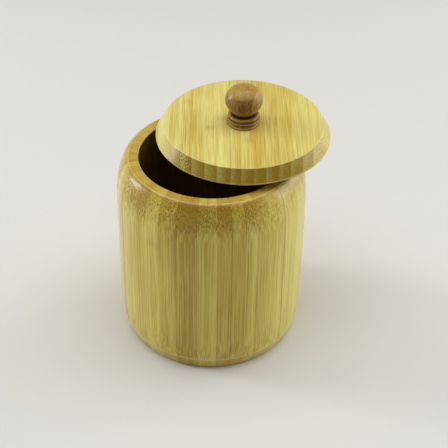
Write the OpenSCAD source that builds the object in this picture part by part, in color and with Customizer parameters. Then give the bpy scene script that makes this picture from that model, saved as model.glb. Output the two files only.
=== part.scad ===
// Bamboo candy jar: a turned stave jar with a bevelled lid that lies ajar on its rim
// Millimetres, +Z up. The origin is the centre of the underside, on the axis of the jar.

/* [Jar body] */
// Outside diameter of the straight wall
body_d = 100; // [84:1:130]
// Height from the table to the flat rim
body_h = 108.5; // [80:0.5:150]
// Thickness of the wall around the straight bore
wall_t = 12; // [8.5:0.5:18]
// Height of the rounded shoulder
shoulder_h = 24; // [16:0.5:34]
// How far the shoulder draws in from the wall to the flat rim
shoulder_in = 6.7; // [4:0.1:9]
// Easing of the edge between the rim and the bore
mouth_ease = 0.8; // [0.2:0.1:1.5]
// Height at which the wall starts to draw in towards the foot
draw_h = 25.5; // [16:0.5:36]
// How far the wall draws in above the foot
draw_in = 1.2; // [0.8:0.1:2.5]
// Height of the chamfer band at the foot
foot_h = 7.4; // [4:0.2:11]
// How far the chamfer band slopes in
foot_in = 2.7; // [1:0.1:3.5]
// Easing of the edge that stands on the table
foot_ease = 0.5; // [0.2:0.1:0.8]

/* [Floor] */
// Thickness of the floor disc
floor_t = 8; // [5:0.5:14]
// Depth of the rebate around the bore that takes the floor disc
rebate_in = 3; // [1.5:0.25:4]
// Glue gap around the floor disc
glue_gap = 0.1; // [0.05:0.05:0.2]

/* [Lid] */
// How far the lid's lower edge reaches past the rim, all round, when the jar is closed
lid_over = 2.4; // [0.5:0.1:6]
// Thickness of the lid without its plug
lid_t = 7.65; // [6:0.05:12]
// How far the bevelled side slopes in towards the top
bevel_in = 3.8; // [2:0.1:6]
// Upright land under the bevel
land_h = 0.9; // [0.8:0.1:2]
// Easing of the lid's edges
lid_ease = 0.5; // [0.1:0.1:0.8]
// Height of the plug under the lid
plug_h = 4.5; // [3:0.25:6]
// Clearance between the plug and the bore
plug_clear = 0.5; // [0.2:0.1:1]
// Easing of the plug's lower edge
plug_ease = 0.6; // [0.2:0.1:1.2]
// How far the lid lies off the jar's axis, to the right
lid_right = 16.3; // [10:0.1:20]
// How far the lid lies off the jar's axis, to the back
lid_back = 11.9; // [8:0.1:16]

/* [Knob] */
// Largest diameter of the ball
ball_d = 19.4; // [16:0.2:24]
// Height of the ball, top to bottom, were it whole
ball_h = 16.4; // [14:0.2:20]
// Diameter of the neck under the ball
neck_d = 12; // [9:0.2:13.6]
// Height of the neck between the bead and the ball
neck_h = 1.8; // [0.8:0.1:3]
// Diameter of the bead under the neck
bead_d = 16.2; // [15.6:0.1:17]
// Height of the bead
bead_h = 1.8; // [1.4:0.1:2.4]
// Diameter of the groove between the bead and the band
groove_d = 15.2; // [13.4:0.1:16]
// Height of the floor of that groove
groove_h = 0.3; // [0.1:0.1:1]
// Diameter of the band under the groove
band_d = 16.8; // [16.2:0.1:18.4]
// Height of the band
band_h = 1; // [0.6:0.1:2]
// Easing of the band's upper edge
band_ease = 0.3; // [0.1:0.1:0.5]
// Diameter of the cove between the band and the foot ring, where it is deepest
cove_d = 15.7; // [13:0.1:16.4]
// Height of the cove
cove_h = 1.6; // [0.8:0.1:3]
// Diameter of the foot ring
ring_d = 17.3; // [16.2:0.1:20]
// Height of the foot ring
ring_h = 0.8; // [0.4:0.1:2]

/* [Screw] */
// Diameter of the screw over its thread
screw_d = 3; // [2.5:0.1:4]
// Length of the screw, head and point included
screw_l = 22; // [19:0.5:26]
// Diameter of the countersunk head
head_d = 6; // [5:0.1:8]
// Height of the countersunk head
head_h = 1.8; // [1.4:0.1:2.4]
// Length of the screw's point
point_l = 3; // [2:0.1:5]
// Clearance around the screw, in the lid and in the knob
screw_clear = 0.05; // [0.02:0.01:0.2]
// Room left in the knob past the point of the screw
pilot_spare = 1; // [0.5:0.1:2]
// Depth of the head below the plug's face
head_sink = 0.3; // [0.1:0.1:0.8]
// Length of each arm of the cross recess, end to end
cross_l = 3; // [2:0.1:3.4]
// Width of each arm of the cross recess
cross_w = 0.7; // [0.4:0.05:1]
// Depth of the cross recess
cross_depth = 1.1; // [0.6:0.1:1.3]

/* [Hidden] */
$fn = 128;

// How far a cut runs past the face that it opens
overrun = 1;
// Degrees turned by each step along a large round form, and along an eased edge
form_step = 2.5;
ease_step = 15;
// Steps along the long curve above the foot
draw_steps = 16;
// Direction of the shoulder's ellipse where the flat rim cuts it off, in degrees
shoulder_end = 82;

body_r = body_d / 2;
bore_r = body_r - wall_t;
seat_r = bore_r + rebate_in;
edge_r = body_r - draw_in;
foot_r = edge_r - foot_in;
foot_slope = atan2(foot_in, foot_h);
rim_r = body_r - shoulder_in;
shoulder_z = body_h - shoulder_h;
shoulder_radii = [shoulder_in / (1 - cos(shoulder_end)), shoulder_h / sin(shoulder_end)];

lid_r = rim_r + lid_over;
plug_r = bore_r - plug_clear;
lid_h = plug_h + lid_t;
bevel_slope = atan2(bevel_in, lid_t - land_h);
top_z = body_h + lid_h;

ring_r = ring_d / 2;
cove_r = cove_d / 2;
cove_z = ring_h + cove_h / 2;
band_r = band_d / 2;
band_z = ring_h + cove_h + band_h;
groove_r = groove_d / 2;
bead_round = bead_h / 2;
bead_mid_r = bead_d / 2 - bead_round;
bead_turn = acos((groove_r - bead_mid_r) / bead_round);
bead_z = band_z + groove_h + bead_round * sin(bead_turn);
neck_r = neck_d / 2;
neck_z = bead_z + bead_round;
ball_r = ball_d / 2;
ball_turn = acos(neck_r / ball_r);
ball_z = neck_z + neck_h + ball_h / 2 * sin(ball_turn);

screw_r = screw_d / 2;
head_r = head_d / 2;
hole_r = screw_r + screw_clear;
sink_r = head_r + screw_clear;
screw_z = body_h + head_sink;
pilot_h = screw_z + screw_l + pilot_spare - top_z;

// Points along an arc of a circle or an ellipse in a lathe outline
function arc(centre, radii, from, to, step) =
    let (count = ceil(abs(to - from) / step))
    [for (i = [0 : count])
        let (angle = i < count ? from + (to - from) * i / count : to)
        centre + [radii[0] * cos(angle), radii[1] * sin(angle)]];

// Points around an eased corner, between the directions that the faces before and after it look in
function eased(corner, before, after, ease) =
    let (middle = (before + after) / 2)
    let (reach = ease / cos((after - before) / 2))
    arc(corner - reach * [cos(middle), sin(middle)], [ease, ease], before, after, ease_step);

// Points up the long curve above the foot, which runs smoothly into the straight wall
function drawn_in() =
    [for (i = [0 : draw_steps])
        let (share = 1 - i / draw_steps)
        [body_r - draw_in * share * share, foot_h + (draw_h - foot_h) * (1 - share)]];

// A solid of revolution from its lathe outline
module turned(outline) {
    rotate_extrude()
        polygon(outline);
}

// Everything that belongs to the lid is drawn on the lid's own axis
module on_lid_axis(z) {
    translate([lid_right, lid_back, z])
        children();
}

// The stave wall, turned inside and out, with a rebate below for the floor
module jar_body() {
    color("#d2b866")
        turned(concat(
            [[seat_r, 0]],
            eased([foot_r, 0], -90, -foot_slope, foot_ease),
            drawn_in(),
            arc([body_r - shoulder_radii[0], shoulder_z], shoulder_radii, 0, shoulder_end, form_step),
            eased([bore_r, body_h], 90, 180, mouth_ease),
            [[bore_r, floor_t], [seat_r, floor_t]]
        ));
}

// The floor disc, glued up against the shoulder of the rebate
module floor_disc() {
    color("#c9ad5c")
        cylinder(r = seat_r - glue_gap, h = floor_t);
}

// The bevelled lid and its plug, turned from one glued-up board and countersunk for the screw
module lid() {
    color("#dcc878")
        on_lid_axis(body_h)
            turned(concat(
                [[sink_r, 0]],
                eased([plug_r, 0], -90, 0, plug_ease),
                [[plug_r, plug_h]],
                eased([lid_r, plug_h], -90, 0, lid_ease),
                [[lid_r, plug_h + land_h]],
                eased([lid_r - bevel_in, lid_h], bevel_slope, 90, lid_ease),
                [[hole_r, lid_h], [hole_r, head_sink + head_h], [sink_r, head_sink]]
            ));
}

// The turned knob: foot ring, cove, band, groove, bead, neck and flattened ball, drilled for the screw
module knob() {
    color("#8a6232")
        on_lid_axis(top_z)
            turned(concat(
                [[hole_r, 0], [ring_r, 0]],
                arc([ring_r, cove_z], [ring_r - cove_r, cove_h / 2], 270, 180, ease_step),
                arc([band_r, cove_z], [band_r - cove_r, cove_h / 2], 180 - ease_step, 90, ease_step),
                eased([band_r, band_z], 0, 90, band_ease),
                [[groove_r, band_z]],
                arc([bead_mid_r, bead_z], [bead_round, bead_round], -bead_turn, 90, ease_step),
                [[neck_r, neck_z]],
                arc([0, ball_z], [ball_r, ball_h / 2], -ball_turn, 90, form_step),
                [[0, pilot_h], [hole_r, pilot_h]]
            ));
}

// The wood screw: countersunk head with a cross recess, shank and point
module knob_screw() {
    color("silver")
        on_lid_axis(screw_z)
            difference() {
                turned([[0, 0], [head_r, 0], [screw_r, head_h], [screw_r, screw_l - point_l], [0, screw_l]]);
                for (turn = [0, 90])
                    rotate(turn)
                        translate([-cross_l / 2, -cross_w / 2, -overrun])
                            cube([cross_l, cross_w, overrun + cross_depth]);
            }
}

jar_body();
floor_disc();
lid();
knob();
knob_screw();
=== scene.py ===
# %% [markdown]
# A bamboo candy jar with its lid ajar
#
# The jar is turned from bamboo: upright staves for the wall, a board of narrow strips for the lid, and a
# steamed brown piece for the knob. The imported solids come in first, as a fixed frame. Everything made
# below is in metres, in that same frame, so a piece goes where the frame says and no place is fitted by
# eye.

# %% Load the frame
import math

import bmesh
import bpy
from mathutils import Color, Matrix, Vector


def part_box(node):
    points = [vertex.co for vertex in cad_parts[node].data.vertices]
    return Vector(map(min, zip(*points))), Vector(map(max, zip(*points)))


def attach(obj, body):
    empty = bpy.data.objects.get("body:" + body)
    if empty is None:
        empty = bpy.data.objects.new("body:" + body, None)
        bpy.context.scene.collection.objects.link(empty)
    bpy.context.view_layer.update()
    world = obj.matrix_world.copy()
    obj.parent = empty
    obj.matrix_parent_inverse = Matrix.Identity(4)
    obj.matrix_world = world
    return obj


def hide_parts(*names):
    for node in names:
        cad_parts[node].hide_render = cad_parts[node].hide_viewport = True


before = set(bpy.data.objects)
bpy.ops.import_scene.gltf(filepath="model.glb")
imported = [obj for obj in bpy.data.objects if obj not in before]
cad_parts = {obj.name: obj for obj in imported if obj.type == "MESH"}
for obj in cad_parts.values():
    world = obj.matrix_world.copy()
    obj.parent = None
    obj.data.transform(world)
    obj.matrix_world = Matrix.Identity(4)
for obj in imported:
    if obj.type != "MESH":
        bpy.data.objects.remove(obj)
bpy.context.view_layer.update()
print("solids:", ", ".join(sorted(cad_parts)))

# %% [markdown]
# The camera
#
# The view looks down on the jar from the front, at about 38 degrees. A camera in Blender looks along its
# own -Z axis, so three turns aim it: tip it down from the horizon, swing it about the upright axis, and
# roll it a little about its own line of sight. A Track To constraint could aim it as well, but turns of
# its own also give the roll. They are in radians, and the focal length comes from the picture's size in
# pixels. With the Standard view transform a colour comes out about as it is written.

# %% Camera
picture_px, focal_px = 448, 1200
camera_place = (0.0, -0.51176, 0.46265)
pitch, swing, roll = 0.6635, 0.0134, 0.015

camera_data = bpy.data.cameras.new("photo_camera")
camera_data.lens = camera_data.sensor_width * focal_px / picture_px
camera = bpy.data.objects.new("photo_camera", camera_data)
aim = (
    Matrix.Rotation(-swing, 4, "Z")
    @ Matrix.Rotation(math.pi / 2 - pitch, 4, "X")
    @ Matrix.Rotation(roll, 4, "Z")
)
camera.matrix_world = Matrix.Translation(camera_place) @ aim
bpy.context.collection.objects.link(camera)
bpy.context.scene.camera = camera
bpy.context.scene.view_settings.view_transform = "Standard"
print("lens:", round(camera_data.lens, 1), "mm")

# %% [markdown]
# Small helpers for shader nodes
#
# A material is a graph of nodes, and adding one node by hand takes several lines. A few helpers keep the
# graphs short. feed() links a socket or sets a plain value. put() adds a node, sets its options, feeds
# its inputs in order and returns one output; None leaves an input as it is. smooth_step() rises softly
# from 0 to 1 between two values, and smooth_drop() falls from 1 to 0.

# %% Node helpers
def feed(tree, socket, value):
    if isinstance(value, bpy.types.NodeSocket):
        tree.links.new(value, socket)
    elif value is not None:
        socket.default_value = value


def put(tree, kind, *values, out=0, **options):
    node = tree.nodes.new("ShaderNode" + kind)
    for name, option in options.items():
        setattr(node, name, option)
    for socket, value in zip(node.inputs, values):
        feed(tree, socket, value)
    return node.outputs[out]


def math_node(tree, operation, *values):
    return put(tree, "Math", *values, operation=operation)


def split(tree, vector):
    return put(tree, "SeparateXYZ", vector).node.outputs


def smooth_step(tree, value, low, high):
    return put(tree, "MapRange", value, low, high, 0.0, 1.0, interpolation_type="SMOOTHSTEP")


def smooth_drop(tree, value, low, high):
    return put(tree, "MapRange", value, low, high, 1.0, 0.0, interpolation_type="SMOOTHSTEP")


def new_material(name):
    material = bpy.data.materials.new(name)
    material.use_nodes = True
    tree = material.node_tree
    return material, tree, tree.nodes["Principled BSDF"]


print("node helpers: feed, put, math_node, split, smooth_step, smooth_drop, new_material")

# %% [markdown]
# The floor
#
# The jar stands on a plain pale floor. A plane would do, but a wide disc looks the same from every side.
# It lies a tenth of a millimetre below the jar, because two faces in one plane fight for the same pixels.
# Its paper is faintly mottled and keeps the jar's shadow. The lamps are close to the jar, so the floor
# would turn grey far off. For the camera alone it therefore fades into the colour of the wall behind it:
# Light Path tells a camera ray from the rays that carry light.

# %% Floor
floor_r, floor_gap, floor_sides = 4.0, 0.0001, 96
floor_colour = (0.74, 0.73, 0.70)
mottle_pace, mottle_detail, mottle_low = 30.0, 2.0, 0.985
paper_rough, paper_gloss = 0.9, 0.1
backdrop_colour = (0.80, 0.80, 0.78, 1)
fade_near, fade_far = 0.4, 1.0


def floor_paper():
    material, tree, shader = new_material("floor_paper")
    place = put(tree, "TexCoord", out="Object")
    mottle = put(tree, "TexNoise", place, None, mottle_pace, mottle_detail)
    tone = put(tree, "MapRange", mottle, 0.0, 1.0, mottle_low, 1.0)
    paper = put(tree, "VectorMath", floor_colour, None, None, tone, operation="SCALE")
    feed(tree, shader.inputs["Base Color"], paper)
    shader.inputs["Roughness"].default_value = paper_rough
    shader.inputs["Specular IOR Level"].default_value = paper_gloss
    away = put(tree, "VectorMath", place, operation="LENGTH", out="Value")
    far = smooth_step(tree, away, fade_near, fade_far)
    seen = put(tree, "LightPath", out="Is Camera Ray")
    wall = put(tree, "Emission", backdrop_colour, 1.0)
    blend = put(tree, "MixShader", math_node(tree, "MULTIPLY", far, seen), shader.outputs[0], wall)
    feed(tree, tree.nodes["Material Output"].inputs["Surface"], blend)
    return material


def pale_floor():
    shape = bmesh.new()
    drop = Matrix.Translation((0, 0, -floor_gap))
    bmesh.ops.create_circle(shape, cap_ends=True, radius=floor_r, segments=floor_sides, matrix=drop)
    mesh = bpy.data.meshes.new("floor")
    shape.to_mesh(mesh)
    shape.free()
    mesh.materials.append(floor_paper())
    floor = bpy.data.objects.new("floor", mesh)
    bpy.context.collection.objects.link(floor)
    print("floor radius:", floor_r, "m")


pale_floor()

# %% [markdown]
# The background
#
# The camera sees the same pale wall everywhere. The lacquer sees a studio instead: a wall that is pale up
# to a little above the horizon, and a dim ceiling, because a bright one would turn the lid milky. On the
# jar itself the world shines only gently and fills the shadows. So the strength of the world depends on
# the kind of ray.

# %% World
world_fill, ceiling = 0.2, 0.15
wall_top, ceiling_edge = 0.05, 0.25


def pale_world():
    world = bpy.data.worlds.new("studio")
    world.use_nodes = True
    bpy.context.scene.world = world
    tree = world.node_tree
    background = tree.nodes["Background"]
    background.inputs["Color"].default_value = backdrop_colour
    rays = put(tree, "LightPath").node.outputs
    rise = split(tree, put(tree, "TexCoord", out="Generated"))[2]
    room = put(tree, "MapRange", rise, wall_top, ceiling_edge, 1.0, ceiling)
    mirrored = math_node(tree, "MAXIMUM", rays["Is Glossy Ray"], rays["Is Transmission Ray"])
    strength = put(tree, "MapRange", mirrored, 0.0, 1.0, world_fill, room)
    strength = put(tree, "MapRange", rays["Is Camera Ray"], 0.0, 1.0, strength, 1.0)
    feed(tree, background.inputs["Strength"], strength)


pale_world()
print("world: fills shadows at", world_fill, "and has a ceiling of", ceiling)

# %% [markdown]
# Soft light
#
# The lid's top is the brightest face, the wall is paler towards its sides than in the middle, and a soft
# spot sits on the left of the shoulder and of the knob. That is a large soft light overhead and one at
# either side, a little behind the jar. Spot lamps would draw hard shadows, and area lamps are as soft as
# they are wide. An area lamp shines along its own -Z, so it is turned to look at the jar.

# %% Lamps
lamp_target = Vector((0.0, 0.0, 0.07))


def softbox(name, place, width, height, watts):
    lamp = bpy.data.lights.new(name, "AREA")
    lamp.shape = "RECTANGLE"
    lamp.size = width
    lamp.size_y = height
    lamp.energy = watts
    holder = bpy.data.objects.new(name, lamp)
    look = lamp_target - Vector(place)
    holder.matrix_world = Matrix.Translation(place) @ look.to_track_quat("-Z", "Y").to_matrix().to_4x4()
    bpy.context.collection.objects.link(holder)
    print("lamp:", name, watts, "W")


softbox("overhead_light", (0.0, 0.0, 1.3), width=1.6, height=1.2, watts=13.7)
softbox("left_light", (-1.03, 0.22, 0.38), width=0.28, height=0.45, watts=5.0)
softbox("right_light", (0.98, 0.25, 0.30), width=0.9, height=0.9, watts=6.2)

# %% [markdown]
# Outlines for a lathe
#
# Every bamboo piece of the jar was turned, so each is drawn as half its section and spun once around its
# axis. An outline is a list of (radius, height) points. They could be typed one by one, but formulas keep
# curves smooth when a size changes: arc() gives a piece of an ellipse, and eased() a sanded corner
# between two faces. Angles are in degrees, and eased() is given the directions in which the faces before
# and after the corner look.
#
# A third number on a point is its wear and painted light. Sandpaper and fingers leave edges paler than
# the faces, and that paler colour also stands in for the highlight a rounded edge catches: wear and
# painted highlight, up to
# 1. eased() gives each sanded corner such a pale edge. Grooves, the deep inside and the lid's underside
#    get painted
# shade, down to -1. The helper below writes it along a stretch of an outline.

# %% Outline helpers
form_step, ease_step = 2.5, 7.5


def arc(centre, radii, start, end, step):
    count = math.ceil(abs(end - start) / step)
    angles = [math.radians(start + (end - start) * i / count) for i in range(count + 1)]
    return [(centre[0] + radii[0] * math.cos(a), centre[1] + radii[1] * math.sin(a)) for a in angles]


# eased() gives the corner a pale edge: wear and a painted highlight.
def eased(corner, before, after, ease):
    middle = math.radians((before + after) / 2)
    reach = ease / math.cos(math.radians(after - before) / 2)
    centre = (corner[0] - reach * math.cos(middle), corner[1] - reach * math.sin(middle))
    points = arc(centre, (ease, ease), before, after, ease_step)
    return [(r, z, math.sin(math.pi * i / (len(points) - 1))) for i, (r, z) in enumerate(points)]


# Writes wear and painted light: above 0 a pale edge of wear and painted highlight, below 0 painted shade.
def worn_and_painted_light(points, first, last=None):
    steps = max(len(points) - 1, 1)
    last = first if last is None else last
    return [(r, z, first + (last - first) * i / steps) for i, (r, z, *_) in enumerate(points)]


print("a sanded square corner has", len(eased((1, 1), 0, 90, 0.1)), "points")

# %% [markdown]
# A lathe in Blender
#
# The bmesh operator spin turns an outline around its axis, and use_merge closes the full turn. A Screw
# modifier could turn it too, but the operator leaves a plain mesh at once, which the next line can merge
# or cut. A flat face next to a rounded edge shades like a pillow unless an extra ring holds it flat close
# to the edge, so hold_flats() adds those rings. A flat between two marked points keeps the darker one's
# painted shade and is never pale. No edge runs along the axis, and each point on it merges into one pole.

# %% Lathe
turn_steps = 192
holding_gap, flat_least = 0.0002, 0.002
on_axis = 1e-7


def hold_flats(outline):
    held = []
    for here, there in zip(outline, outline[1:] + outline[:1]):
        held.append(here)
        run = math.dist(here[:2], there[:2])
        both_carry_wear_and_light = len(here) == len(there) == 3
        wear_and_painted_light = min(here[2], there[2], 0) if both_carry_wear_and_light else 0
        if run > flat_least and max(here[0], there[0]) > on_axis:
            for share in (holding_gap / run, 1 - holding_gap / run):
                r, z = (a + (b - a) * share for a, b in zip(here[:2], there[:2]))
                held.append((r, z, wear_and_painted_light))
    return held


def turned_shape(outline, axis, steps):
    shape = bmesh.new()
    wear_and_light_layer = shape.verts.layers.float.new("wear_and_painted_light")
    outline = hold_flats(outline)
    points = []
    for r, z, *wear_and_painted_light in outline:
        points.append(shape.verts.new((axis.x + max(r, 0), axis.y, z)))
        points[-1][wear_and_light_layer] = wear_and_painted_light[0] if wear_and_painted_light else 0
    chain = [
        shape.edges.new((points[i - 1], points[i]))
        for i in range(len(points))
        if max(outline[i - 1][0], outline[i][0]) > on_axis
    ]
    bmesh.ops.spin(
        shape,
        geom=points + chain,
        cent=(axis.x, axis.y, 0),
        axis=(0, 0, 1),
        angle=math.tau,
        steps=steps,
        use_merge=True,
    )
    bmesh.ops.remove_doubles(shape, verts=shape.verts, dist=on_axis)
    bmesh.ops.recalc_face_normals(shape, faces=shape.faces)
    return shape


print("a full turn has", turn_steps, "steps of", 360 / turn_steps, "degrees")

# %% [markdown]
# From a shape to a piece
#
# A bmesh is only a workbench. The finished piece is an object whose mesh already has its place. The
# object could carry the place instead, but the finish reads Object coordinates, and its patterns would
# slide along. Faces that meet at a small angle shade as one curve, and steeper edges stay crisp. All
# pieces ride on the one body of this part, which is called root.

# %% Finished pieces
turned_sharp_deg = 10


def finished_piece(name, shape, sharp_deg):
    mesh = bpy.data.meshes.new(name)
    shape.to_mesh(mesh)
    shape.free()
    mesh.shade_smooth()
    mesh.set_sharp_from_angle(angle=math.radians(sharp_deg))
    piece = bpy.data.objects.new(name, mesh)
    bpy.context.collection.objects.link(piece)
    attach(piece, "root")
    print(name, "has", len(mesh.polygons), "faces")
    return piece


def turned_piece(name, outline, axis, steps=turn_steps, sharp_deg=turned_sharp_deg):
    return finished_piece(name, turned_shape(outline, axis, steps), sharp_deg)

# %% [markdown]
# The jar's wall
#
# On the real jar, staves of bamboo are glued into a tube, and the tube is turned inside and out. The
# staves could be modelled one by one, but after turning they are a single smooth piece, so the seams are
# left to the finish. The section runs from the rebate under the floor, round the foot, up a slope that
# fades into the straight wall, over the shoulder and the flat rim, and down the bore. A little way down
# the bore daylight ends, and from there the bamboo gets painted shade.

# %% Wall
jar_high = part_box("jar_body")[1]
body_r, body_h = jar_high.x, jar_high.z
jar_axis = Vector((0, 0))
wall_t = 0.012
shoulder_h, shoulder_in, shoulder_end = 0.024, 0.0067, 82
mouth_ease = 0.0008
daylight_h, painted_bore_shade = 0.003, -1
draw_h, draw_in, draw_steps = 0.0255, 0.0012, 16
foot_h, foot_in, foot_ease = 0.0074, 0.0027, 0.0005
rebate_in = 0.003
floor_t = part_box("floor_disc")[1].z

bore_r = body_r - wall_t
seat_r = bore_r + rebate_in
foot_r = body_r - draw_in - foot_in


def drawn_in():
    shares = [1 - i / draw_steps for i in range(draw_steps + 1)]
    points = [(body_r - draw_in * s * s, foot_h + (draw_h - foot_h) * (1 - s)) for s in shares]
    # The edge where the slope starts is pale: wear and a painted highlight.
    return worn_and_painted_light(points[:1], 1) + points[1:]


def wall_outline():
    foot_slope = math.degrees(math.atan2(foot_in, foot_h))
    turn = math.radians(shoulder_end)
    radii = (shoulder_in / (1 - math.cos(turn)), shoulder_h / math.sin(turn))
    shoulder = arc((body_r - radii[0], body_h - shoulder_h), radii, 0, shoulder_end, form_step)
    return (
        [(seat_r, 0)]
        + worn_and_painted_light(eased((foot_r, 0), -90, -foot_slope, foot_ease), 0, 1)
        + drawn_in()
        + shoulder[:-1]
        # The rim's outer edge is pale: wear and a painted highlight.
        + worn_and_painted_light(shoulder[-1:], 1)
        + eased((bore_r, body_h), 90, 180, mouth_ease)
        # Painted shade down the bore, starting a little below the rim.
        + worn_and_painted_light([(bore_r, body_h - daylight_h), (bore_r, floor_t), (seat_r, floor_t)], painted_bore_shade)
    )


jar_wall = turned_piece("stave_wall", wall_outline(), jar_axis)
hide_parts("jar_body")

# %% [markdown]
# The floor board
#
# A disc of strips closes the tube from below. It could stay the plain solid of the frame, but its edges
# are a hair rounded, as sandpaper leaves them, and that catches a thin line of light. The edges are also
# pale: wear and a painted highlight.

# %% Floor board
board_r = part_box("floor_disc")[1].x
board_ease = 0.0003


def board_outline():
    return (
        [(0, 0)]
        + eased((board_r, 0), -90, 0, board_ease)
        + eased((board_r, floor_t), 0, 90, board_ease)
        + [(0, floor_t)]
    )


floor_board = turned_piece("floor_board", board_outline(), jar_axis)
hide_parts("floor_disc")

# %% [markdown]
# The lid
#
# The lid is one board, turned with a plug below that drops into the mouth and a bevelled side above. Here
# it lies ajar: the flat face of the plug rests on the rim. Plug and board could be two discs, but they
# are one piece of bamboo, so they share an outline. The lid's box in the frame gives its axis. The lower
# edge is pale: it is sanded, and the pale colour also paints the highlight it catches. The side of the
# plug and the underside past it get painted shade, which deepens the shadow under the lid's edge.

# %% Lid
lid_low, lid_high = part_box("lid")
lid_axis = ((lid_low + lid_high) / 2).to_2d()
lid_r = (lid_high.x - lid_low.x) / 2
plug_h, plug_clear, plug_ease = 0.0045, 0.0005, 0.0006
bevel_in, land_h, lid_ease = 0.0038, 0.0009, 0.0005
painted_overhang_shade = -0.85
screw_r, head_r, head_h, head_sink = 0.0015, 0.003, 0.0018, 0.0003
screw_clear = 0.00005
hole_r = screw_r + screw_clear
sink_r = head_r + screw_clear


def lid_outline():
    plug_r = bore_r - plug_clear
    under, seat, top = lid_low.z, lid_low.z + plug_h, lid_high.z
    bevel_slope = math.degrees(math.atan2(bevel_in, top - seat - land_h))
    lower_edge = eased((lid_r, seat), -90, 0, lid_ease) + [(lid_r, seat + land_h)]
    return (
        [(sink_r, under)]
        + eased((plug_r, under), -90, 0, plug_ease)
        # Painted shade on the side of the plug and under the overhang, up to a pale lower edge of wear
        # and painted highlight.
        + worn_and_painted_light([(plug_r, seat)], painted_overhang_shade)
        + worn_and_painted_light(lower_edge, painted_overhang_shade, 1)
        + eased((lid_r - bevel_in, top), bevel_slope, 90, lid_ease)
        + [(hole_r, top), (hole_r, under + head_sink + head_h), (sink_r, under + head_sink)]
    )


strip_lid = turned_piece("strip_lid", lid_outline(), lid_axis)
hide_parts("lid")

# %% [markdown]
# The knob
#
# The knob was turned in one piece: a foot ring, a cove, a band, a groove, a bead, a neck and a ball that
# is a little flatter than round. A stack of spheres and rings would leave seams, so it is one outline
# again. The cuts between these forms get painted shade. The ring's edge and the bead are pale: wear and a
# painted highlight.

# %% Knob
knob_low, knob_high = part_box("knob")
knob_steps, knob_sharp_deg = 96, 20
ball_r = (knob_high.x - knob_low.x) / 2
ball_half_h = 0.0082
# The neck and the groove get painted shade; the bead and the ring's edge are pale with wear and painted
# highlight.
neck_r, painted_neck_shade = 0.006, -1
bead_r, bead_h, bead_wear_and_highlight = 0.0081, 0.0018, 0.4
groove_r, groove_h, painted_groove_shade = 0.0076, 0.0003, -0.6
band_r, band_h, band_ease = 0.0084, 0.001, 0.0003
cove_r, cove_h = 0.00785, 0.0016
ring_r, ring_h, ring_wear_and_highlight = 0.00865, 0.0008, 0.3
pilot_spare = 0.001


def knob_outline():
    base = knob_low.z
    cove_z = base + ring_h + cove_h / 2
    band_z = base + ring_h + cove_h + band_h
    bead_round = bead_h / 2
    bead_turn = math.degrees(math.acos((groove_r - bead_r + bead_round) / bead_round))
    bead_z = band_z + groove_h + bead_round * math.sin(math.radians(bead_turn))
    bead = arc((bead_r - bead_round, bead_z), (bead_round, bead_round), -bead_turn, 90, ease_step)
    ball_turn = math.degrees(math.acos(neck_r / ball_r))
    ball = arc((0, knob_high.z - ball_half_h), (ball_r, ball_half_h), -ball_turn, 90, form_step)
    pilot_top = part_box("knob_screw")[1].z + pilot_spare
    return (
        [(hole_r, base), (ring_r, base, ring_wear_and_highlight)]
        + arc((ring_r, cove_z), (ring_r - cove_r, cove_h / 2), 270, 180, ease_step)
        + arc((band_r, cove_z), (band_r - cove_r, cove_h / 2), 180 - ease_step, 90, ease_step)
        + eased((band_r, band_z), 0, 90, band_ease)
        # Painted shade in the groove and the neck; a pale bead and ring edge of wear and painted
        # highlight.
        + worn_and_painted_light([(groove_r, band_z)], painted_groove_shade)
        + worn_and_painted_light(bead, painted_groove_shade, bead_wear_and_highlight)
        + worn_and_painted_light([(neck_r, bead_z + bead_round)] + ball[:1], painted_neck_shade)
        + ball[1:]
        + [(0, pilot_top), (hole_r, pilot_top)]
    )


ball_knob = turned_piece("ball_knob", knob_outline(), lid_axis, knob_steps, knob_sharp_deg)
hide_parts("knob")

# %% [markdown]
# The screw's body
#
# A countersunk wood screw comes up through the lid and holds the knob. Its head shows only from below.
# The body is turned on the same lathe, with the root of the thread as its shank. A boolean could cut the
# cross recess, but it may leave slivers. Here bisect_plane cuts the flat underside along the lines of a
# cross, and the faces inside it are pushed in.

# %% Screw body
screw_low, screw_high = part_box("knob_screw")
screw_steps, screw_sharp_deg = 48, 25
root_r, point_l = 0.00105, 0.003
cross_l, cross_w, cross_depth = 0.003, 0.0007, 0.0011


def screw_outline():
    under, tip = screw_low.z, screw_high.z
    neck_z = under + head_h
    return [(0, under), (head_r, under), (root_r, neck_z), (root_r, tip - point_l), (0, tip)]


def under_faces(shape):
    highest = screw_low.z + holding_gap / 2
    return [face for face in shape.faces if all(vert.co.z < highest for vert in face.verts)]


def in_cross(face):
    spot = face.calc_center_median().to_2d() - lid_axis
    near, far = sorted((abs(spot.x), abs(spot.y)))
    return near < cross_w / 2 and far < cross_l / 2


def cut_cross(shape):
    bmesh.ops.dissolve_faces(shape, faces=under_faces(shape), use_verts=True)
    for line in (Vector((1, 0, 0)), Vector((0, 1, 0))):
        for off in (-cross_l / 2, -cross_w / 2, cross_w / 2, cross_l / 2):
            faces = under_faces(shape)
            rims = dict.fromkeys(part for face in faces for part in (*face.edges, *face.verts))
            spot = lid_axis.to_3d() + line * off
            parts = faces + list(rims)
            bmesh.ops.bisect_plane(shape, geom=parts, dist=on_axis, plane_co=spot, plane_no=line)
    mouth = [face for face in under_faces(shape) if in_cross(face)]
    arms = bmesh.ops.extrude_face_region(shape, geom=mouth)
    raised = [part for part in arms["geom"] if isinstance(part, bmesh.types.BMVert)]
    bmesh.ops.translate(shape, vec=(0, 0, cross_depth), verts=raised)
    bmesh.ops.delete(shape, geom=mouth, context="FACES")
    print("cross recess:", len(mouth), "faces pushed in by", cross_depth, "m")


screw_shape = turned_shape(screw_outline(), lid_axis, screw_steps)
cut_cross(screw_shape)

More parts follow.
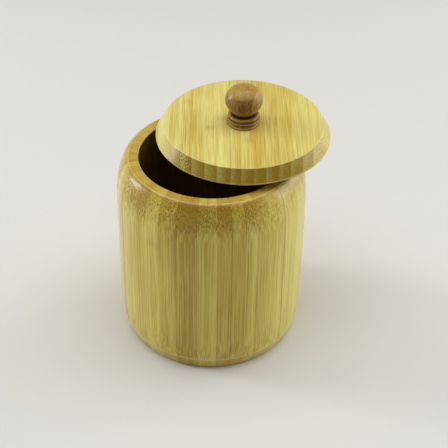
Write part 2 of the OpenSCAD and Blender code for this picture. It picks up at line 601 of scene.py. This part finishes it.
# %% [markdown]
# The screw's thread
#
# The thread shows only when the knob comes off, but it makes the piece a screw. It is a spin too: a small
# triangle goes round the axis and climbs a little at each step. A curve with a bevel could follow a helix
# too, but it would be a second object. The foot of the thread is sunk a hair into the shank, so no gap
# opens.

# %% Thread
thread_pitch, thread_start = 0.0012, 0.004
thread_foot, thread_sunk = 0.0004, 0.0001


def wind_thread(shape):
    start_z = screw_low.z + thread_start
    turns = (screw_high.z - point_l - thread_foot - start_z) / thread_pitch
    sunk_r = root_r - thread_sunk
    section = [(sunk_r, -thread_foot), (screw_r, 0), (sunk_r, thread_foot)]
    corners = [shape.verts.new((lid_axis.x + r, lid_axis.y, start_z + rise)) for r, rise in section]
    bmesh.ops.spin(
        shape,
        geom=[shape.faces.new(corners)],
        cent=(lid_axis.x, lid_axis.y, 0),
        axis=(0, 0, 1),
        dvec=(0, 0, thread_pitch / screw_steps),
        angle=math.tau * turns,
        steps=round(turns * screw_steps),
    )
    bmesh.ops.recalc_face_normals(shape, faces=shape.faces)
    print("thread:", round(turns, 1), "turns")


wind_thread(screw_shape)
steel_screw = finished_piece("wood_screw", screw_shape, screw_sharp_deg)
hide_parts("knob_screw")

# %% [markdown]
# How bamboo looks
#
# Bamboo is a grass: thin dark bundles of fibre run along a paler ground. Cut along its length it shows
# streaks, and cut across it shows dots. A flat picture on a UV map would give only one of them. A solid
# pattern gives both, as long as it hardly changes along the fibres, so each material first finds three
# distances in millimetres: across the strip, through its depth and along it. Each strip has a number as
# well, which gives it a tone and a grain of its own. Colours are written as screen levels from 0 to 255,
# and srgb() turns them into the linear values that shaders work with.

# %% Helpers for patterns
mm_per_m = 1000
brightest = 255


def srgb(*levels):
    return (*Color([level / brightest for level in levels]).from_srgb_to_scene_linear(), 1)


def in_millimetres(tree, axis):
    place = put(tree, "TexCoord", out="Object")
    shift = (-axis.x * mm_per_m, -axis.y * mm_per_m, 0)
    return split(tree, put(tree, "Mapping", place, shift, None, (mm_per_m,) * 3))


def mixed(tree, factor, first, second, how="MIX"):
    # The node keeps inputs for other kinds of data between its factor and its two colours
    unused = [None] * 5
    return put(tree, "Mix", factor, *unused, first, second, out=2, data_type="RGBA", blend_type=how)


def from_middle(tree, value):
    return math_node(tree, "SUBTRACT", value, 0.5)


def luck_of(tree, number, seed):
    """Three even random shares for a strip, the same in every run."""
    draw = math_node(tree, "ADD", number, seed)
    return split(tree, put(tree, "TexWhiteNoise", None, draw, out="Color", noise_dimensions="1D"))


print("mid grey in linear light:", [round(level, 3) for level in srgb(128, 128, 128)[:3]])

# %% [markdown]
# Three ways to lay strips
#
# The wall has staves around the axis, with their fibres upright. The lid and the floor are boards of flat
# strips side by side. The knob comes from a block of thick strips, with its fibres upright. Seams could
# lie at equal steps, but strips are never quite alike in width. So two slow waves move the seams of
# staves and boards a little. Each wave has a reach in strips, a pace and a start.

# %% Strip layouts
stave_waves = ((0.34, 5.0, 1.81), (0.17, 10.0, 4.79))
board_waves = ((0.04, 0.21, 0.4), (0.04, 0.53, 1.9))


def strip_number(tree, place, count, waves):
    for reach, pace, start in waves:
        wave = math_node(tree, "SINE", math_node(tree, "MULTIPLY_ADD", place, pace, start))
        count = math_node(tree, "MULTIPLY_ADD", wave, reach, count)
    return math_node(tree, "FLOOR", count), math_node(tree, "FRACT", count)


def laid(tree, strip, share, width, depth, along):
    across = math_node(tree, "MULTIPLY", share, width)
    return {"strip": strip, "share": share, "across": across, "depth": depth, "along": along}


def stave_layout(tree, axis, stave_count, stave_w, first_seam):
    x, y, z = in_millimetres(tree, axis)
    angle = math_node(tree, "ARCTAN2", y, x)
    count = math_node(tree, "MULTIPLY_ADD", angle, stave_count / math.tau, first_seam)
    strip, share = strip_number(tree, angle, count, stave_waves)
    strip = math_node(tree, "FLOORED_MODULO", strip, stave_count)
    flat = put(tree, "CombineXYZ", x, y, 0.0)
    radius = put(tree, "VectorMath", flat, operation="LENGTH", out="Value")
    return laid(tree, strip, share, stave_w, depth=radius, along=z)


def board_layout(tree, axis, strip_w, first_seam, turn=0.0, waves=board_waves):
    x, y, z = in_millimetres(tree, axis)
    right = math_node(tree, "MULTIPLY", x, math.cos(turn))
    right = math_node(tree, "MULTIPLY_ADD", y, math.sin(turn), right)
    back = math_node(tree, "MULTIPLY", y, math.cos(turn))
    back = math_node(tree, "MULTIPLY_ADD", x, -math.sin(turn), back)
    count = math_node(tree, "MULTIPLY_ADD", right, 1 / strip_w, -first_seam / strip_w)
    strip, share = strip_number(tree, right, count, waves)
    return laid(tree, strip, share, strip_w, depth=z, along=back)


def block_layout(tree, axis, strip_w, first_seam, turn):
    board = board_layout(tree, axis, strip_w, first_seam, turn, waves=())
    return {**board, "depth": board["along"], "along": board["depth"]}


stave_reach = sum(reach for reach, pace, start in stave_waves)
print("a stave's seam moves by up to", round(stave_reach, 2), "of a stave")

# %% [markdown]
# The grain itself
#
# Fibres come from noise that is drawn out many times along the strip. Wave textures would be too even for
# them. Three noises lie over each other: fibres that the eye can follow, fine ones between them, and slow
# clouds. The dark bundles are the cells of a flat Voronoi pattern, which a slow wander along the strip
# moves in and out of the cut face. Luck moves each strip to a patch of the noise of its own, as
# neighbours come from different canes. Each noise has a pace across the fibres, and a share of it along
# them.

# %% Grain
luck_seed, own_patch_mm = 3.7, 40.0
wander_pace, wander_step, wander_detail, wander_mm = 0.03, 5.3, 2.0, 2.4
bundle_core, bundle_edge = 0.12, 0.34
noise_kinds = {
    "fibres": {"across": 1.8, "along": 0.7, "detail": 3.0},
    "fine": {"across": 5.0, "along": 1.2, "detail": 2.0},
    "clouds": {"across": 0.22, "along": 6.0, "detail": 2.0},
}


def wandering_place(tree, layout, luck, habit):
    slow = math_node(tree, "MULTIPLY", layout["along"], wander_pace)
    own = math_node(tree, "MULTIPLY", layout["strip"], wander_step)
    path = put(tree, "CombineXYZ", slow, own, 0.0)
    wander = split(tree, put(tree, "TexNoise", path, None, 1.0, wander_detail, out="Color"))
    sides = []
    for side, key in enumerate(("across", "depth")):
        moved = math_node(tree, "MULTIPLY_ADD", wander[side], wander_mm * habit["wander"], layout[key])
        sides.append(math_node(tree, "MULTIPLY_ADD", luck[side], own_patch_mm, moved))
    return put(tree, "CombineXYZ", *sides, layout["along"])


def grain_of(tree, layout, habit):
    luck = luck_of(tree, layout["strip"], luck_seed)
    place = wandering_place(tree, layout, luck, habit)
    grain = {"luck": luck}
    for key, kind in noise_kinds.items():
        pace = kind["across"]
        paces = (pace, pace, pace * kind["along"] * habit["along_share"])
        stretched = put(tree, "Mapping", place, None, None, paces)
        grain[key] = put(tree, "TexNoise", stretched, None, 1.0, kind["detail"])
    cells = put(tree, "TexVoronoi", place, None, 1 / habit["bundle_gap"], voronoi_dimensions="2D")
    grain["bundles"] = smooth_drop(tree, cells, bundle_core, bundle_edge)
    return grain


print("noises of the grain:", ", ".join(noise_kinds))

# %% [markdown]
# Along the fibres or across them
#
# Where a cut runs across the fibres, the lacquer soaks in and the bamboo turns darker and warmer. On a
# slanting cut, such as the shoulder, the bundles come up as dots. So the colour has to know how far the
# surface looks along the fibres. The normal in Object coordinates gives that facing, from 0 on a side to
# 1 on a square cut, and no camera is needed for it. Strips that differ from the rest are named by their
# number, and chosen_strips() adds up what they get.

# %% Facing and chosen strips
same_number = 0.1
square_cut = (0.75, 0.95)


def fibre_facing(tree, grain, fibre_axis, habit):
    normal = put(tree, "TexCoord", out="Normal")
    facing = put(tree, "VectorMath", normal, fibre_axis, operation="DOT_PRODUCT", out="Value")
    return math_node(tree, "MULTIPLY_ADD", from_middle(tree, grain["fibres"]), habit["ragged"], facing)


def slanting_cut(tree, facing, habit):
    slant = smooth_step(tree, facing, *habit["stipple"])
    square = smooth_step(tree, facing, *square_cut)
    left_over = math_node(tree, "MULTIPLY_ADD", square, -habit["stipple_fade"], 1.0)
    return math_node(tree, "MULTIPLY", slant, left_over)


def chosen_strips(tree, layout, strips):
    total = 0.0
    for number, amount in strips.items():
        chosen = math_node(tree, "COMPARE", layout["strip"], number, same_number)
        total = math_node(tree, "MULTIPLY_ADD", chosen, amount, total)
    return total


square_deg = [round(math.degrees(math.acos(facing))) for facing in square_cut]
print("a cut turns square from", square_deg[0], "to", square_deg[1], "degrees off the fibres")

# %% [markdown]
# Tone and dots
#
# The tone of a strip slides between a pale and a deep straw colour. Each strip has a tone of its own,
# leans a little from one edge to the other, and the three noises ripple over it. Dots could be strewn
# evenly, but on real bamboo few strips have many of them, and a random share that is squared is mostly
# small. How well the dots show depends on the cut.

# %% Tone and dots
middle_tone, lean_reach = 0.45, 0.7
few_dotted = 2.0


def in_hundred_past_half(power):
    return round(100 * (1 - 0.5 ** (1 / power)))


def strip_tone(tree, layout, grain, cut, slant, habit):
    lean = math_node(tree, "MULTIPLY", from_middle(tree, grain["luck"][0]), lean_reach)
    lean = math_node(tree, "MULTIPLY_ADD", cut, habit["saw"], lean)
    own = from_middle(tree, grain["luck"][2])
    tone = math_node(tree, "MULTIPLY_ADD", own, habit["spread"], middle_tone)
    tone = math_node(tree, "MULTIPLY_ADD", from_middle(tree, layout["share"]), lean, tone)
    for key in noise_kinds:
        tone = math_node(tree, "MULTIPLY_ADD", from_middle(tree, grain[key]), habit[key], tone)
    tone = math_node(tree, "MULTIPLY_ADD", cut, habit["cut_tone"], tone)
    tone = math_node(tree, "MULTIPLY_ADD", slant, habit["slant_tone"], tone)
    tone = math_node(tree, "ADD", tone, chosen_strips(tree, layout, habit["tone_steps"]))
    return put(tree, "Clamp", tone)


def bundle_share(tree, layout, grain, habit):
    share = math_node(tree, "POWER", grain["luck"][1], few_dotted)
    share = math_node(tree, "MULTIPLY", share, habit["fleck"])
    return math_node(tree, "ADD", share, chosen_strips(tree, layout, habit["dotted_strips"]))


def dots_of(tree, share, grain, cut, slant, habit):
    amount = math_node(tree, "MULTIPLY", share, habit["side_fleck"])
    amount = math_node(tree, "MULTIPLY_ADD", slant, habit["slant_fleck"], amount)
    most = math_node(tree, "MULTIPLY_ADD", cut, -habit["bald_top"], 1.0)
    amount = math_node(tree, "MINIMUM", amount, most)
    return math_node(tree, "MULTIPLY", grain["bundles"], math_node(tree, "MAXIMUM", amount, 0.0))


print("strips past half of the dots:", in_hundred_past_half(few_dotted), "in 100")

# %% [markdown]
# Seams and joints
#
# A glue line is a thin brown line on one edge of a strip, and only a few are easy to see. On the turned
# jar it has no depth, so it is colour and not a groove. A joint is the knot ring of the living cane. It
# crosses a strip as a short mark with a ragged border, drawn out into streaks.

# %% Seams and joints
few_dark_lines = 3.0
line_core, line_edge = 0.5, 1.5
joint_ragged, joint_core, joint_edge, joint_strength = 6.0, 0.4, 3.6, 0.7
joint_streaks = (0.3, 0.7)


def glue_lines(tree, layout, grain, habit):
    strength = math_node(tree, "POWER", grain["luck"][0], few_dark_lines)
    strength = math_node(tree, "MULTIPLY", strength, habit["line"])
    strength = math_node(tree, "ADD", strength, chosen_strips(tree, layout, habit["dark_seams"]))
    line_w = habit["line_w"]
    line = smooth_drop(tree, layout["across"], line_w * line_core, line_w * line_edge)
    return math_node(tree, "MULTIPLY", line, strength)


def joint_marks(tree, layout, grain, joints):
    marks = 0.0
    ragged = math_node(tree, "MULTIPLY_ADD", grain["fine"], joint_ragged, layout["along"])
    for number, place in joints:
        chosen = math_node(tree, "COMPARE", layout["strip"], number, same_number)
        off = math_node(tree, "SUBTRACT", ragged, place + joint_ragged / 2)
        mark = smooth_drop(tree, math_node(tree, "ABSOLUTE", off), joint_core, joint_edge)
        marks = math_node(tree, "MAXIMUM", math_node(tree, "MULTIPLY", chosen, mark), marks)
    streaks = smooth_step(tree, grain["fibres"], *joint_streaks)
    marks = math_node(tree, "MULTIPLY", marks, streaks)
    return math_node(tree, "MULTIPLY", marks, joint_strength)


print("glue lines past half strength:", in_hundred_past_half(few_dark_lines), "in 100")

# %% [markdown]
# From grain to a colour
#
# Now the layers go over each other, as on the bench: first the tone of the wood, then dots, glue lines
# and joints, and last the lacquer that soaks into the end grain. Multiplying all of them would get too
# dark where they meet, so each mark covers what lies below by its own share, and only the lacquer
# multiplies.

# %% Colour of a strip
def strip_colour(tree, layout, grain, colours, fibre_axis, habit):
    facing = fibre_facing(tree, grain, fibre_axis, habit)
    cut = smooth_step(tree, math_node(tree, "ABSOLUTE", facing), *habit["soak"])
    share = bundle_share(tree, layout, grain, habit)
    slant = math_node(tree, "MULTIPLY", slanting_cut(tree, facing, habit), share)
    tone = strip_tone(tree, layout, grain, cut, slant, habit)
    colour = mixed(tree, tone, colours["pale"], colours["deep"])
    dots = dots_of(tree, share, grain, cut, slant, habit)
    colour = mixed(tree, dots, colour, colours["bundle"])
    colour = mixed(tree, glue_lines(tree, layout, grain, habit), colour, colours["glue"])
    colour = mixed(tree, joint_marks(tree, layout, grain, habit["joints"]), colour, colours["joint"])
    return mixed(tree, cut, colour, colours["soaked"], "MULTIPLY"), dots


print("layers of a strip: tone, dots, glue lines, joints, soaked lacquer")

# %% [markdown]
# The lacquer
#
# Above the colour lies a thin clear satin lacquer, which is the coat of the Principled shader. The edges
# are pale with wear and painted highlight, and the grooves, the bore and the lid's underside get painted
# shade, as the lathe wrote down. The fibres still stand out a little under the lacquer, by a tenth of a
# millimetre at most, so bump is enough for them.

# %% Bamboo finish
rough_least, rough_fine, rough_dots = 0.36, 0.14, 0.12
fibre_rise, dot_rise, fibre_height = 0.6, -0.25, 0.0001
wood_gloss = 0.2


def bumped(tree, height, strength, distance):
    bump = tree.nodes.new("ShaderNodeBump")
    bump.inputs["Strength"].default_value = strength
    bump.inputs["Distance"].default_value = distance
    feed(tree, bump.inputs["Height"], height)
    return bump.outputs[0]


# Pale edges mix in the pale edge colour, wear and painted highlight; values below 0 multiply in painted
# shade.
def with_wear_and_painted_light(tree, colour, colours, habit):
    wear_and_painted_light = put(tree, "Attribute", attribute_name="wear_and_painted_light", out="Fac")
    pale_edge_and_highlight = math_node(tree, "MULTIPLY", wear_and_painted_light, habit["wear_and_painted_light"])
    colour = mixed(tree, pale_edge_and_highlight, colour, colours["worn_and_painted_light"])
    painted_shade_amount = math_node(tree, "MULTIPLY", wear_and_painted_light, -1.0)
    return mixed(tree, painted_shade_amount, colour, colours["painted_shade"], "MULTIPLY")


def bamboo(name, layout_of, colours, fibre_axis, habit):
    material, tree, shader = new_material(name)
    layout = layout_of(tree)
    grain = grain_of(tree, layout, habit)
    colour, dots = strip_colour(tree, layout, grain, colours, fibre_axis, habit)
    feed(tree, shader.inputs["Base Color"], with_wear_and_painted_light(tree, colour, colours, habit))
    rough = math_node(tree, "MULTIPLY_ADD", grain["fine"], rough_fine, rough_least)
    feed(tree, shader.inputs["Roughness"], math_node(tree, "MULTIPLY_ADD", dots, rough_dots, rough))
    height = math_node(tree, "MULTIPLY", dots, dot_rise)
    height = math_node(tree, "MULTIPLY_ADD", grain["fibres"], fibre_rise, height)
    relief = bumped(tree, height, habit["relief"], fibre_height)
    feed(tree, shader.inputs["Normal"], relief)
    feed(tree, shader.inputs["Coat Normal"], relief)
    shader.inputs["Specular IOR Level"].default_value = wood_gloss
    shader.inputs["Coat Weight"].default_value = habit["coat"]
    shader.inputs["Coat Roughness"].default_value = habit["coat_rough"]
    return material


def dress(piece, layout_of, colours, fibre_axis, habit):
    material = bamboo(piece.name + "_bamboo", layout_of, colours, fibre_axis, habit)
    piece.data.materials.append(material)
    print(piece.name, "wears", material.name, "with", len(material.node_tree.nodes), "nodes")

# %% [markdown]
# The colours
#
# Wall, lid and floor are pale, untreated bamboo. The lid was cut from a slightly greyer cane. The knob
# was steamed first, which turns the sugar in the bamboo brown all the way through. The soaked colour is
# multiplied with the wood, as a glaze is, and so is the shade colour, which is painted shade. The others
# cover it; the pale edge colour is wear and painted highlight.

# %% Colours
straw = {
    "pale": srgb(231, 216, 104),
    "deep": srgb(180, 147, 20),
    "bundle": srgb(102, 77, 0),
    "glue": srgb(142, 104, 30),
    "joint": srgb(178, 136, 54),
    "soaked": srgb(232, 216, 204),
    # Next: the pale edge colour, wear and painted highlight, and the painted shade colour for the bore
    # and under the lid.
    "worn_and_painted_light": srgb(238, 226, 164),
    "painted_shade": srgb(156, 130, 102),
}
lid_straw = {
    **straw,
    "pale": srgb(228, 217, 132),
    "deep": srgb(193, 156, 40),
    "joint": srgb(190, 146, 48),
    "soaked": srgb(200, 195, 172),
}
steamed = {
    "pale": srgb(188, 155, 79),
    "deep": srgb(108, 65, 0),
    "bundle": srgb(76, 44, 8),
    "glue": srgb(70, 40, 8),
    "joint": srgb(80, 50, 16),
    "soaked": srgb(252, 244, 232),
    # Next: the pale edge colour, wear and painted highlight, and the painted shade colour for the knob's
    # groove and neck.
    "worn_and_painted_light": srgb(190, 156, 92),
    "painted_shade": srgb(110, 88, 66),
}
print("colours of straw:", ", ".join(straw))

# %% [markdown]
# Habits of the bamboo, and the floor board
#
# A recipe of its own for each piece would repeat most of its lines four times. So there is one recipe,
# and a habit says how strongly each part of the pattern shows on a piece. The plain habit lists them all,
# with a comment on what they do. Other pieces start from it and change what is special to them. The floor
# board has nothing special, so it wears the plain habit.

# %% Plain habit and floor finish
up, lengthwise = (0, 0, 1), (0, -1, 0)
plain_habit = {
    # Pace of the noises along the fibres, as a share of the pace across them
    "along_share": 0.012,
    # How far the bundles wander, as a share of wander_mm
    "wander": 0.9,
    # How much the tone differs from strip to strip
    "spread": 0.5,
    # How much a strip darkens from left to right on end grain
    "saw": 0.0,
    # How much each noise changes the tone
    "fibres": 1.6,
    "fine": 0.4,
    "clouds": 0.6,
    # Dots: the most that luck gives a strip, and how well they show on its sides and on slanting cuts
    "fleck": 0.5,
    "side_fleck": 0.3,
    "slant_fleck": 2.0,
    # How far the dots are gone from end grain, and the millimetres from one bundle to the next
    "bald_top": 0.0,
    "bundle_gap": 0.8,
    # Facings at which dots start and are all there, and how far a square cut hides them again
    "stipple": (0.06, 0.28),
    "stipple_fade": 1.0,
    # Glue lines: strength, and width in millimetres
    "line": 0.6,
    "line_w": 0.4,
    # How pale the edges get, from wear and painted highlight
    "wear_and_painted_light": 0.5,
    # Facings at which lacquer starts to soak in and soaks in fully, and how ragged that border is
    "soak": (0.1, 0.8),
    "ragged": 0.0,
    # How much deeper the tone gets on end grain and on slanting cuts
    "cut_tone": 0.0,
    "slant_tone": 0.0,
    # How far the fibres stand out, and the strength and roughness of the lacquer
    "relief": 0.4,
    "coat": 0.45,
    "coat_rough": 0.13,
    # What single strips get, by number: a darker seam, another tone, more dots
    "dark_seams": {},
    "tone_steps": {},
    "dotted_strips": {},
    # Joints of the cane, as the strip's number and the place along it in millimetres
    "joints": [],
}


def floor_strips(tree):
    return board_layout(tree, jar_axis, strip_w=6.15, first_seam=1.5)


dress(floor_board, floor_strips, straw, lengthwise, plain_habit)

# %% [markdown]
# The wall's finish
#
# The wall has 46 staves. Those at the front have numbers from about 24 to 45, counted from left to right.
# Where the shoulder cuts them at a slant, they turn brown and dotted, each to its own degree. A few seams
# are dark, and the staves towards the right are paler than those in the middle. Luck alone could choose
# them, but then the front would not look like this jar, so the strips that stand out are named.

# %% Wall finish
wall_habit = {
    **plain_habit,
    "wander": 0.5,
    "fibres": 2.2,
    "bundle_gap": 0.7,
    "fleck": 0.15,
    "slant_fleck": 2.6,
    "slant_tone": 0.95,
    "cut_tone": -0.1,
    "relief": 0.9,
    "coat": 0.7,
    "coat_rough": 0.16,
    "dark_seams": {32: 0.4, 34: 0.6, 35: 0.3, 37: 0.6, 38: 0.4, 41: 0.6},
    "tone_steps": {
        25: -0.2, 30: -0.4, 31: -0.1, 32: 0.4, 33: 0.5, 36: 0.2,
        39: 0.2, 40: -0.3, 42: -0.4, 43: -0.5, 44: -0.3,
    },
    "dotted_strips": {
        27: 0.3, 28: 0.45, 29: 0.45, 30: 0.2, 31: 0.2, 32: 0.75,
        33: 0.75, 34: 0.5, 35: 0.3, 36: 0.4, 38: 0.45, 39: 0.1,
    },
    "joints": [(30, 81), (12, 62), (20, 35)],
}


def wall_strips(tree):
    return stave_layout(tree, jar_axis, stave_count=46, stave_w=6.8, first_seam=0.74)


dress(jar_wall, wall_strips, straw, up, wall_habit)

# %% [markdown]
# The lid's finish
#
# The lid's strips run from front to back, so its bevel is end grain at the front. There each strip
# darkens from left to right, and one of them is full of dots. On the top the streaks are shorter than on
# the wall, and a few joints cross them. The same bamboo does all this, with habits of its own.

# %% Lid finish
lid_habit = {
    **plain_habit,
    "along_share": 0.025,
    "wander": 0.6,
    "fibres": 1.7,
    "fine": 0.2,
    "clouds": 0.8,
    "saw": 1.0,
    "bundle_gap": 1.0,
    "fleck": 0.15,
    "line": 0.4,
    "stipple": (0.2, 0.6),
    "stipple_fade": 0.6,
    "cut_tone": 0.35,
    "coat": 0.2,
    "coat_rough": 0.2,
    "tone_steps": {-7: -0.3, -6: -0.3, -5: -0.2, -4: -0.2, 3: 0.25, 5: -0.2},
    "dotted_strips": {-5: 1.0},
    "joints": [(-3, -6), (-2, 3), (-5, 19), (0, -17)],
}


def lid_strips(tree):
    return board_layout(tree, lid_axis, strip_w=6.15, first_seam=-1.5)


dress(strip_lid, lid_strips, lid_straw, lengthwise, lid_habit)

# %% [markdown]
# The knob's finish
#
# The knob comes from a block of two thick strips, and the seam between them shows on the right of the
# ball. Its fibres are upright. On the sides they are dark streaks, and on top, where the cut is square,
# the wood is paler. That paler top is end grain and also a painted highlight of the overhead light, which
# the upper half catches and the lower half misses. A pale disc on the pole would have a clean rim, so the
# border follows the fibres and gets ragged.

# %% Knob finish
knob_habit = {
    **plain_habit,
    "along_share": 0.03,
    "wander": 0.2,
    "fleck": 0.0,
    "side_fleck": 0.7,
    "slant_fleck": 0.0,
    "bald_top": 0.9,
    "bundle_gap": 1.3,
    "line": 0.0,
    "line_w": 0.25,
    # Where the cut turns square the top gets paler, with a ragged border: end grain and a painted
    # highlight of the overhead light.
    "soak": (0.53, 0.67),
    "ragged": 0.6,
    "cut_tone": -0.5,
    "relief": 0.9,
    "coat": 0.25,
    "coat_rough": 0.12,
    "dark_seams": {0: 0.5},
    "tone_steps": {-1: 0.25, 0: -0.05},
    "dotted_strips": {-1: 0.5, 0: 0.25},
}


def knob_strips(tree):
    return block_layout(tree, lid_axis, strip_w=16.0, first_seam=6.5, turn=-0.37)


dress(ball_knob, knob_strips, steamed, up, knob_habit)

# %% [markdown]
# The steel of the screw
#
# The screw is plain zinc-coated steel. Metal has no colour of its own under its reflections, so the base
# colour is what it reflects. One even grey would look like paint, so a fine noise makes the coating
# cloudy, and a wave texture gives the rings that the machine has left around the axis.

# %% Steel
zinc_dark, zinc_bright = srgb(150, 148, 142), srgb(206, 205, 198)
cloud_pace, cloud_detail, cloud_range = 1.6, 3.0, (0.3, 0.7)
zinc_rough = (0.24, 0.42)
ring_pace, ring_bend, ring_detail = 6.0, 0.6, 2.0
ring_strength, ring_height = 0.15, 0.00005


def zinc_steel():
    material, tree, shader = new_material("zinc_steel")
    place = put(tree, "CombineXYZ", *in_millimetres(tree, lid_axis))
    clouds = put(tree, "TexNoise", place, None, cloud_pace, cloud_detail)
    feed(tree, shader.inputs["Base Color"], mixed(tree, clouds, zinc_dark, zinc_bright))
    rough = put(tree, "MapRange", clouds, *cloud_range, *zinc_rough)
    feed(tree, shader.inputs["Roughness"], rough)
    bands = (place, ring_pace, ring_bend, ring_detail)
    rings = put(tree, "TexWave", *bands, out="Fac", wave_type="RINGS", rings_direction="Z")
    feed(tree, shader.inputs["Normal"], bumped(tree, rings, ring_strength, ring_height))
    shader.inputs["Metallic"].default_value = 1.0
    return material


steel_screw.data.materials.append(zinc_steel())
print(steel_screw.name, "wears", steel_screw.data.materials[0].name)
